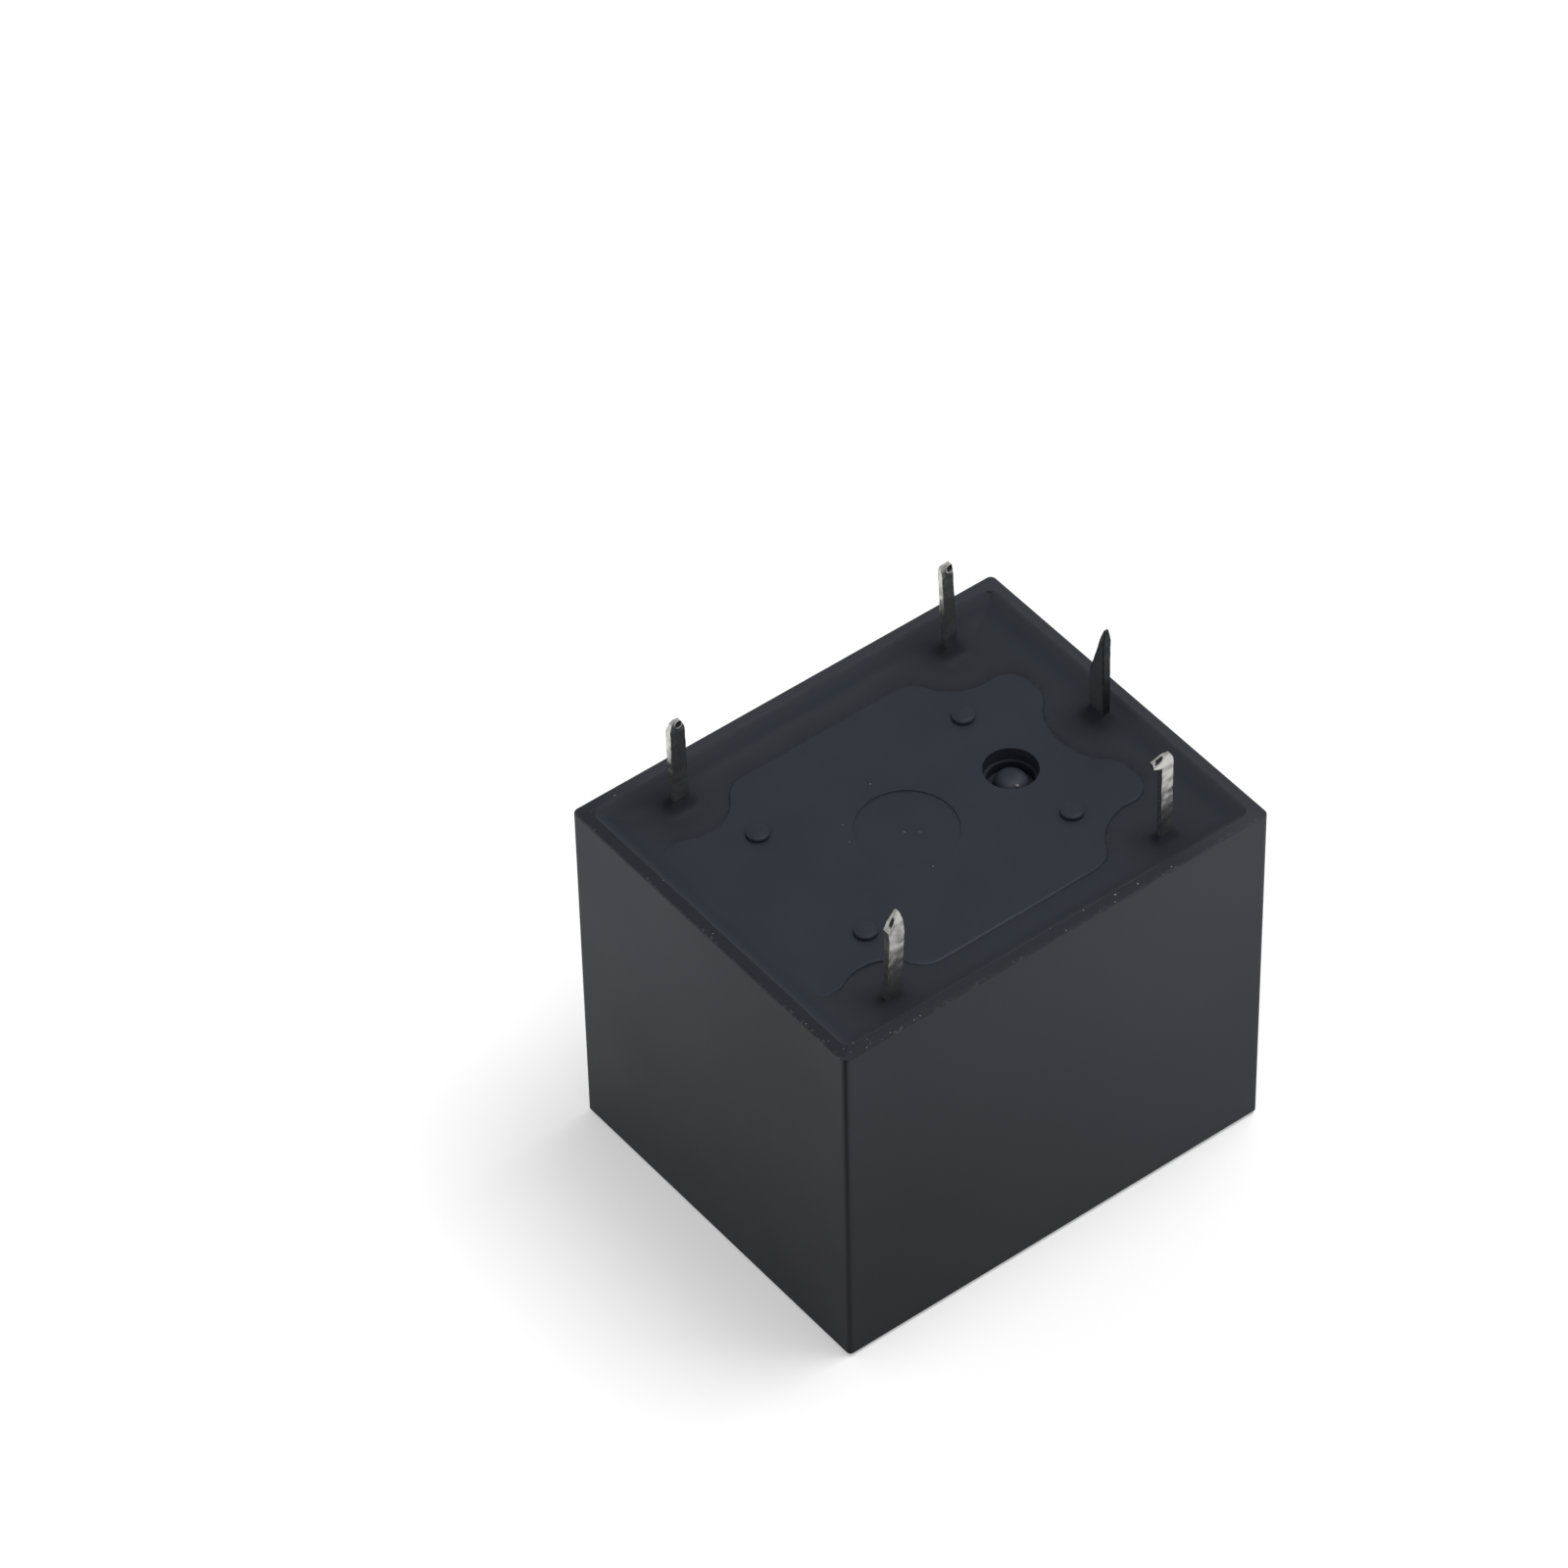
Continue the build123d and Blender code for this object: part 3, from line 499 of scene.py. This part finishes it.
def tinned_metal():
    """Tin plate, bright with dull patches, darkened where the mesh carries a coat of resin at the
    root, and painted shade up the blade and in the tip's hollow.
    """
    finish = Finish("tinned_metal")
    patches = finish.noise(0.35 * MM, 3)
    streaks = finish.noise(0.06 * MM, 2, finish.stretched(1, 1, 0.12))
    film_and_shade = finish.painted("film_and_shade")
    clear_share = 1 - film_and_shade
    dull = finish.step(patches, 0.4, 0.7)
    tin = finish.mix(dull, colour(0.6, 0.59, 0.56), colour(0.4, 0.388, 0.362))
    # The coat of resin, and painted shade where the pin mirrors the dark base and in the tip's
    # hollow, darken the tin
    stained_and_shaded = finish.mix(1 - clear_share * clear_share, tin, colour(0.083, 0.088, 0.096))
    finish.shader(
        Base_Color=finish.mix(finish.step(film_and_shade, 0.72, 1), stained_and_shaded, colour(0.014, 0.0145, 0.017)),
        Metallic=1 - 0.9 * film_and_shade * film_and_shade,
        Specular_IOR_Level=0.2,
        Roughness=0.22 + 0.12 * dull + 0.08 * streaks + 0.16 * film_and_shade,
        Normal=finish.bump(0.0008 * MM * streaks + 0.004 * MM * patches),
    )
    return finish.material


def select_only(piece):
    """Makes one piece the only selected and active object."""
    bpy.ops.object.select_all(action="DESELECT")
    bpy.context.view_layer.objects.active = piece
    piece.select_set(True)


def edit(piece, *operations):
    """Runs mesh operators on all of a piece in edit mode."""
    select_only(piece)
    bpy.ops.object.mode_set(mode="EDIT")
    for operator, settings in operations:
        bpy.ops.mesh.select_all(action="SELECT")
        operator(**settings)
    bpy.ops.object.mode_set(mode="OBJECT")


def primitive(operator, **settings):
    """Adds a primitive with nothing else selected, and returns it."""
    bpy.ops.object.select_all(action="DESELECT")
    operator(**settings)
    return bpy.context.object


def delete_faces(piece, test):
    """Deletes the faces whose centre passes a test."""
    select_only(piece)
    bpy.ops.object.mode_set(mode="EDIT")
    bpy.ops.mesh.select_mode(type="FACE")
    bpy.ops.mesh.select_all(action="DESELECT")
    bpy.ops.object.mode_set(mode="OBJECT")
    for face in piece.data.polygons:
        face.select = test(face.center)
    bpy.ops.object.mode_set(mode="EDIT")
    bpy.ops.mesh.delete(type="FACE")
    bpy.ops.object.mode_set(mode="OBJECT")


def cut_level(piece, level, **side):
    """Cuts a piece at a level, clears one side and closes the cut."""
    plane = {"plane_co": (0, 0, level), "plane_no": (0, 0, 1), "use_fill": True}
    edit(piece, (bpy.ops.mesh.bisect, plane | side))


def copy_of(node, name):
    """A new piece with a merged copy of a CAD node's mesh."""
    piece = bpy.data.objects.new(name, frame["nodes"][node].data.copy())
    bpy.context.scene.collection.objects.link(piece)
    edit(
        piece,
        (bpy.ops.mesh.customdata_custom_splitnormals_clear, {}),
        (bpy.ops.mesh.remove_doubles, {"threshold": MERGE_GAP}),
    )
    return piece


def join(name, *pieces):
    """Joins pieces into one with a name."""
    select_only(pieces[0])
    for piece in pieces:
        piece.select_set(True)
    bpy.ops.object.join()
    pieces[0].name = name
    pieces[0].data.name = name
    return pieces[0]


def smooth(piece, turn):
    """Smooth shading across edges that turn by no more than an angle in degrees."""
    select_only(piece)
    bpy.ops.object.shade_smooth_by_angle(angle=radians(turn))


def paint(piece, name, value_at):
    """Writes a value to each vertex of a piece, worked out from its place."""
    layer = piece.data.attributes.new(name, "FLOAT", "POINT")
    for vertex, entry in zip(piece.data.vertices, layer.data):
        entry.value = value_at(vertex.co)


def finish_piece(piece, slot, material, *nodes):
    """Gives a piece its material and hides the nodes that it stands for; its slot is not used."""
    piece.data.materials.clear()
    piece.data.materials.append(material)
    if nodes:
        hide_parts(*nodes)


def share(value, low, high):
    """0 at low, 1 at high, with a smooth rise between."""
    part = min(max((value - low) / (high - low), 0), 1)
    return part * part * (3 - 2 * part)


def root_section(node):
    """A terminal's middle and half sizes in X and Y where it leaves the resin, and its tip's Z."""
    mesh = frame["nodes"][node].data
    corners = []
    for edge in mesh.edges:
        first, second = (mesh.vertices[index].co for index in edge.vertices)
        if min(first.z, second.z) < resin_z <= max(first.z, second.z):
            corners.append(first.lerp(second, (resin_z - first.z) / (second.z - first.z)))
    low_x, high_x = min(c.x for c in corners), max(c.x for c in corners)
    low_y, high_y = min(c.y for c in corners), max(c.y for c in corners)
    tip_z = max(vertex.co.z for vertex in mesh.vertices)
    middle = ((low_x + high_x) / 2, (low_y + high_y) / 2)
    return (*middle, (high_x - low_x) / 2, (high_y - low_y) / 2, tip_z)


def nearest_pin(x, y):
    """Distance from a point of the base to the nearest pin's section, and that pin's node."""
    gaps = []
    for node, (pin_x, pin_y, half_x, half_y, _) in pin_sections.items():
        gap = hypot(max(abs(x - pin_x) - half_x, 0), max(abs(y - pin_y) - half_y, 0))
        gaps.append((gap, node))
    return min(gaps)


def resin_height(x, y):
    """Level of the cured resin, which creeps up the rim and the pins."""
    to_end = max(mouth_half_length - abs(x), 0)
    to_side = max(mouth_half_width - abs(y), 0)
    swell = max(exp(-to_end / END_SWELL_REACH), exp(-to_side / SIDE_SWELL_REACH))
    to_pin, node = nearest_pin(x, y)
    height = resin_z + WAVE_HEIGHT * noise.noise(Vector((x, y, 0)) / WAVE_LENGTH)
    height += RIM_RISE * exp(-min(to_end, to_side) / RIM_REACH) + RIM_SWELL * swell
    height += PIN_RISES[node] * exp(-to_pin / PIN_REACH)
    return height + PIN_SWELL * exp(-to_pin / PIN_SWELL_REACH)


def plateau_edge():
    """Points along the foot of the plateau's rounded edge, apart from its end under the resin."""
    mesh = frame["nodes"]["base"].data
    foot_z = plateau_z - PLATEAU_ROUND
    points = []
    for edge in mesh.edges:
        first, second = (mesh.vertices[index].co for index in edge.vertices)
        at_foot = max(abs(first.z - foot_z), abs(second.z - foot_z)) < EDGE_LEVEL_GAP
        if at_foot and min(first.x, second.x) > EDGE_SHADE_START:
            count = int((second - first).length / EDGE_STEP) + 1
            points += [first.lerp(second, step / count) for step in range(count)]
    tree = kdtree.KDTree(len(points))
    for index, point in enumerate(points):
        tree.insert((point.x, point.y, 0), index)
    tree.balance()
    return tree


def resin_painted_shade(at, edge_points):
    """Share of painted shade on the resin: round each pin and along the plateau's far edge."""
    place = Vector((at.x, at.y, 0))
    edge, _, gap = edge_points.find(place)
    beyond = (place - edge).normalized().dot(FAR_SIDE)
    full = EDGE_SHADE + (COMMON_END_SHADE - EDGE_SHADE) * share(at.x, *COMMON_END_FADE)
    shade = full * exp(-gap / EDGE_SHADE_REACH) * share(beyond, *FAR_SIDE_FADE)
    return max(exp(-nearest_pin(at.x, at.y)[0] / PIN_SHADE_REACH), shade)


def make_resin():
    """Pool of potting resin between the plateau and the rim."""
    length = 2 * (mouth_half_length + RESIN_OVERLAP)
    width = 2 * (mouth_half_width + RESIN_OVERLAP)
    resin = primitive(
        bpy.ops.mesh.primitive_grid_add,
        x_subdivisions=round(length / RESIN_GRID),
        y_subdivisions=round(width / RESIN_GRID),
        size=1,
    )
    resin.name = "resin_pool"
    place = Matrix.Translation((0, 0, resin_low_z))
    resin.data.transform(place @ Matrix.Diagonal((length, width, 1, 1)))
    window_low, window_high, window_side = RESIN_WINDOW
    delete_faces(resin, lambda at: window_low < at.x < window_high and abs(at.y) < window_side)
    rise = {"value": (0, 0, resin_z - resin_low_z)}
    edit(resin, (bpy.ops.mesh.extrude_region_move, {"TRANSFORM_OT_translate": rise}))
    middle_z = (resin_low_z + resin_z) / 2
    for vertex in resin.data.vertices:
        if vertex.co.z > middle_z:
            vertex.co.z = resin_height(vertex.co.x, vertex.co.y)
    edit(resin, (bpy.ops.mesh.normals_make_consistent, {"inside": False}))
    smooth(resin, RESIN_TURN)
    edge_points = plateau_edge()
    # Painted shade round the pins and beyond the plateau's far edge
    paint(resin, "painted_shade", lambda at: resin_painted_shade(at, edge_points))
    finish_piece(resin, "sealing_resin", FINISHES["sealing_resin"], "sealing_resin")
    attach(resin, "relay_body")


def hollow_distance(node, at):
    """How far a place is from the hollow in a pin's tip: 0 in its middle, 1 at its edge."""
    pin_x, pin_y, _, _, tip_z = pin_sections[node]
    if node not in TIP_HOLLOWS or at.y > pin_y:
        return CLEAR_OF_HOLLOW
    offset, drop, half_length, half_width, lean = TIP_HOLLOWS[node]
    x = at.x - pin_x - offset
    z = at.z - tip_z + drop
    along = x * sin(radians(lean)) + z * cos(radians(lean))
    across = x * cos(radians(lean)) - z * sin(radians(lean))
    return hypot(along / half_length, across / half_width)


def pin_coat_and_shade(node, at):
    """Dark share at a place on a pin, resin coat and painted shade: full at the root, thinning in a
    slant, and full again in the tip's hollow.
    """
    pin_x, pin_y, half_x, half_y, _ = pin_sections[node]
    low_x_height, high_x_height, fade, full, least, near_side = PIN_COATS_AND_SHADE[node]
    across = min(max((at.x - pin_x) / (2 * half_x) + 0.5, 0), 1)
    ragged = COAT_AND_SHADE_RAGGEDNESS * noise.noise(at / COAT_AND_SHADE_RAG_SIZE)
    low = resin_z + low_x_height + (high_x_height - low_x_height) * across + ragged
    # Painted shade on the narrow near side
    least += (near_side - least) * share(pin_y - at.y, NEAR_SIDE_SHADE_START * half_y, half_y)
    film_and_shade = max(full * (1 - share(at.z, low, low + fade)), least)
    # Painted shade in the tip's hollow
    film_and_shade = max(film_and_shade, share(1 - hollow_distance(node, at), 0, HOLLOW_SHADE_FADE))
    return film_and_shade * share(at.z, resin_low_z - COAT_AND_SHADE_LOW_FADE, resin_low_z)


def lay_tin(blade, node):
    """Moves a blade's surface to lumps of tin, with a hollow and its burr at the cropped tip."""
    normals = [vertex.normal.copy() for vertex in blade.data.vertices]
    for vertex, normal in zip(blade.data.vertices, normals):
        reach = hollow_distance(node, vertex.co)
        dish = HOLLOW_DEPTH * max(1 - reach * reach, 0) ** 2
        burr = BURR_HEIGHT * exp(-(((reach - BURR_MIDDLE) / BURR_WIDTH) ** 2))
        lump = TIN_LUMPS * (noise.noise(vertex.co / TIN_LUMP_SIZE) - TIN_LUMP_INSET)
        vertex.co += (lump + (burr - dish) * max(-normal.y, 0)) * normal


def make_terminal(node):
    """Terminal with a lumpy tinned blade and a cropped tip, with a coat of resin at its root that
    runs on up the blade as painted shade, and painted shade in the tip's hollow.
    """
    root = copy_of(node, node + "_root")
    cut_level(root, resin_z, clear_outer=True)
    smooth(root, PLAIN_TURN)
    blade = copy_of(node, node + "_blade")
    cut_level(blade, resin_z - BLADE_OVERLAP, clear_inner=True)
    blade.data.transform(Matrix.Scale(1 / MM, 4))
    blade.data.remesh_voxel_size = BLADE_VOXEL
    select_only(blade)
    bpy.ops.object.voxel_remesh()
    blade.data.transform(Matrix.Scale(MM, 4))
    lay_tin(blade, node)
    smooth(blade, ROUND_TURN)
    piece = join(node + "_tinned", root, blade)
    # A coat of resin at the root, with painted shade up the blade and in the tip's hollow
    paint(piece, "film_and_shade", lambda at: pin_coat_and_shade(node, at))
    finish_piece(piece, "tinned_metal", FINISHES["tinned_metal"], node)
    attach(piece, "relay_body")


def make_spring():
    """Contact spring between the yoke and the armature, with its faces cut finer."""
    spring = copy_of("contact_spring", "bent_spring")
    edit(spring, (bpy.ops.mesh.subdivide, {"number_cuts": SPRING_CUTS}))
    smooth(spring, PLAIN_TURN)
    finish_piece(spring, "spring_bronze", FINISHES["spring_bronze"], "contact_spring")
    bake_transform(spring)


def make_winding():
    """Outer layer of the coil's turns round a core of the inner layers."""
    low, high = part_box("coil_winding")
    centre = (low + high) / 2
    radius = (high.x - low.x) / 2
    core = copy_of("coil_winding", "inner_layers")
    for vertex in core.data.vertices:
        spoke = Vector((vertex.co.x - centre.x, vertex.co.y - centre.y, 0))
        if spoke.length > radius - WIRE_DIAMETER:
            vertex.co -= WIRE_DIAMETER / 2 * spoke.normalized()
    smooth(core, PLAIN_TURN)
    first = primitive(
        bpy.ops.mesh.primitive_torus_add,
        major_segments=TURN_FACETS,
        minor_segments=WIRE_SIDES,
        major_radius=radius - WIRE_DIAMETER / 2,
        minor_radius=WIRE_DIAMETER / 2,
    )
    smooth(first, ROUND_TURN)
    count = int((high.z - low.z) / WIRE_DIAMETER)
    turns = []
    for index in range(count):
        height = low.z + (index + 0.5) * (high.z - low.z) / count
        turn = bpy.data.objects.new("turn", first.data.copy())
        bpy.context.scene.collection.objects.link(turn)
        turn.data.transform(Matrix.Translation((centre.x, centre.y, height)))
        turns.append(turn)
    bpy.data.objects.remove(first)
    winding = join("coil_turns", core, *turns)
    finish_piece(winding, "enamelled_copper", FINISHES["enamelled_copper"], "coil_winding")
    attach(winding, "relay_body")


def make_pip_crowns():
    """Low crowns that fill the dished tops of the four pips."""
    crowns = []
    for x, y in PIP_PLACES:
        crown = primitive(
            bpy.ops.mesh.primitive_uv_sphere_add,
            segments=CROWN_SEGMENTS,
            ring_count=CROWN_RINGS,
            radius=1,
        )
        place = Matrix.Translation((x, y, plateau_z + PIP_HEIGHT - CROWN_DROP))
        form = Matrix.Diagonal((CROWN_RADIUS, CROWN_RADIUS, CROWN_RISE, 1))
        crown.data.transform(place @ form)
        crowns.append(crown)
    piece = join("pip_crowns", *crowns)
    smooth(piece, ROUND_TURN)
    finish_piece(piece, "base_plastic", FINISHES["base_plastic"])
    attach(piece, "relay_body")


def make_crumb(x, y, z, size, chance):
    """One crumb, kept clear of the cover's outer faces."""
    crumb = primitive(bpy.ops.mesh.primitive_ico_sphere_add, subdivisions=2, radius=1)
    shift = Vector((chance.random(), chance.random(), chance.random())) * CRUMB_SHIFT
    for vertex in crumb.data.vertices:
        roughness = CRUMB_ROUGH * noise.noise(CRUMB_ROUGH_SIZE * vertex.co + shift)
        vertex.co *= CRUMB_EVEN + roughness
    reach = CRUMB_REACH * size
    x = min(max(x, reach - cover_half_length), cover_half_length - reach)
    y = min(max(y, reach - cover_half_width), cover_half_width - reach)
    flat = Matrix.Diagonal((size, size, CRUMB_SQUASH * size, 1)) @ Matrix.Scale(CRUMB_SHARE, 4)
    crumb.data.transform(Matrix.Translation((x, y, z)) @ flat)
    return crumb


def make_crumbs():
    """Crumbs left on the rim, on the base and in the vent, where the crumb on the nib also serves
    as a painted highlight.
    """
    grounds = (
        (RIM_CRUMBS, rim_z),
        (BASE_CRUMBS, plateau_z),
        (MARK_CRUMBS, plateau_z - MARK_DEPTH),
        (NIB_GLINT_CRUMBS, plateau_z - NIB_GLINT_DROP),
    )
    chance = random.Random(CRUMB_SEED)
    crumbs = []
    for group, ground_z in grounds:
        for x_mm, y_mm, size_mm in group:
            x, y, z = x_mm * MM, y_mm * MM, ground_z
            if group is RIM_CRUMBS and abs(x) < mouth_half_length and abs(y) < mouth_half_width:
                z = resin_height(x, y)
            crumbs.append(make_crumb(x, y, z, size_mm * MM, chance))
    piece = join("resin_crumbs", *crumbs)
    smooth(piece, CRUMB_TURN)
    finish_piece(piece, "sealing_resin", crumbled_resin())
    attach(piece, "relay_body")


def set_camera():
    """Camera at the photograph's place, with its roll."""
    turn, rise, roll = (radians(value) for value in (CAMERA_TURN, CAMERA_RISE, CAMERA_ROLL))
    back = Vector((sin(turn) * cos(rise), -cos(turn) * cos(rise), sin(rise)))
    right = Vector((0, 0, 1)).cross(back).normalized()
    up = back.cross(right)
    axes = Matrix((right, up, back)).transposed() @ Matrix.Rotation(-roll, 3, "Z")
    data = bpy.data.cameras.new("camera")
    data.lens = CAMERA_LENS
    data.sensor_width = SENSOR_WIDTH
    camera = bpy.data.objects.new("camera", data)
    aim = Vector((CAMERA_AIM_ACROSS, CAMERA_AIM_UP, -CAMERA_DISTANCE))
    camera.matrix_world = Matrix.Translation(-(axes @ aim)) @ axes.to_4x4()
    bpy.context.scene.collection.objects.link(camera)
    bpy.context.scene.camera = camera


def set_light():
    """Even white room, and one large soft box overhead that faces the relay."""
    world = bpy.data.worlds.new("studio")
    world.use_nodes = True
    room = world.node_tree.nodes["Background"]
    room.inputs["Color"].default_value = colour(1, 1, 1)
    room.inputs["Strength"].default_value = ROOM_STRENGTH
    bpy.context.scene.world = world
    data = bpy.data.lights.new("overhead_box", "AREA")
    data.size = LAMP_SIZE
    data.energy = LAMP_POWER
    lamp = bpy.data.objects.new("overhead_box", data)
    lamp.location = LAMP_PLACE
    lamp.rotation_euler = LAMP_PLACE.to_track_quat("Z", "Y").to_euler()
    bpy.context.scene.collection.objects.link(lamp)


def make_floor():
    """Plain pale floor, white where the camera sees it, that keeps the relay's shadow."""
    floor = primitive(
        bpy.ops.mesh.primitive_plane_add,
        size=FLOOR_SIZE,
        location=(0, 0, -FLOOR_GAP),
    )
    floor.name = "floor"
    finish = Finish("pale_floor")
    camera_ray = finish.node("ShaderNodeLightPath", {}, {}, "Is Camera Ray")
    glossy_ray = finish.node("ShaderNodeLightPath", {}, {}, "Is Glossy Ray")
    through_ray = finish.node("ShaderNodeLightPath", {}, {}, "Is Transmission Ray")
    finish.shader(
        Base_Color=colour(0.8, 0.8, 0.8),
        Roughness=0.9,
        Specular_IOR_Level=0.1,
        Emission_Color=colour(1, 1, 1),
        Emission_Strength=FLOOR_GLOW * (camera_ray + glossy_ray + through_ray),
    )
    floor.data.materials.append(finish.material)


FINISHES = {
    "cover_plastic": moulded_cover(),
    "base_plastic": moulded_base(),
    "sealing_resin": potting_resin(),
    "tinned_metal": tinned_metal(),
    "bobbin_plastic": natural_plastic(),
}
for name, look in SATIN_METALS.items():
    FINISHES[name] = satin_metal(name, *look)

for part in frame["record"]["subparts"]:
    for slot in frame["nodes"][part["node"]].material_slots:
        slot.material = FINISHES[part["material_slot"]]

pin_sections = {node: root_section(node) for node in PIN_COATS_AND_SHADE}
make_resin()
for node in PIN_COATS_AND_SHADE:
    make_terminal(node)
make_spring()
make_winding()
make_pip_crowns()
make_crumbs()

bpy.context.scene.view_settings.view_transform = "Standard"
set_camera()
set_light()
make_floor()
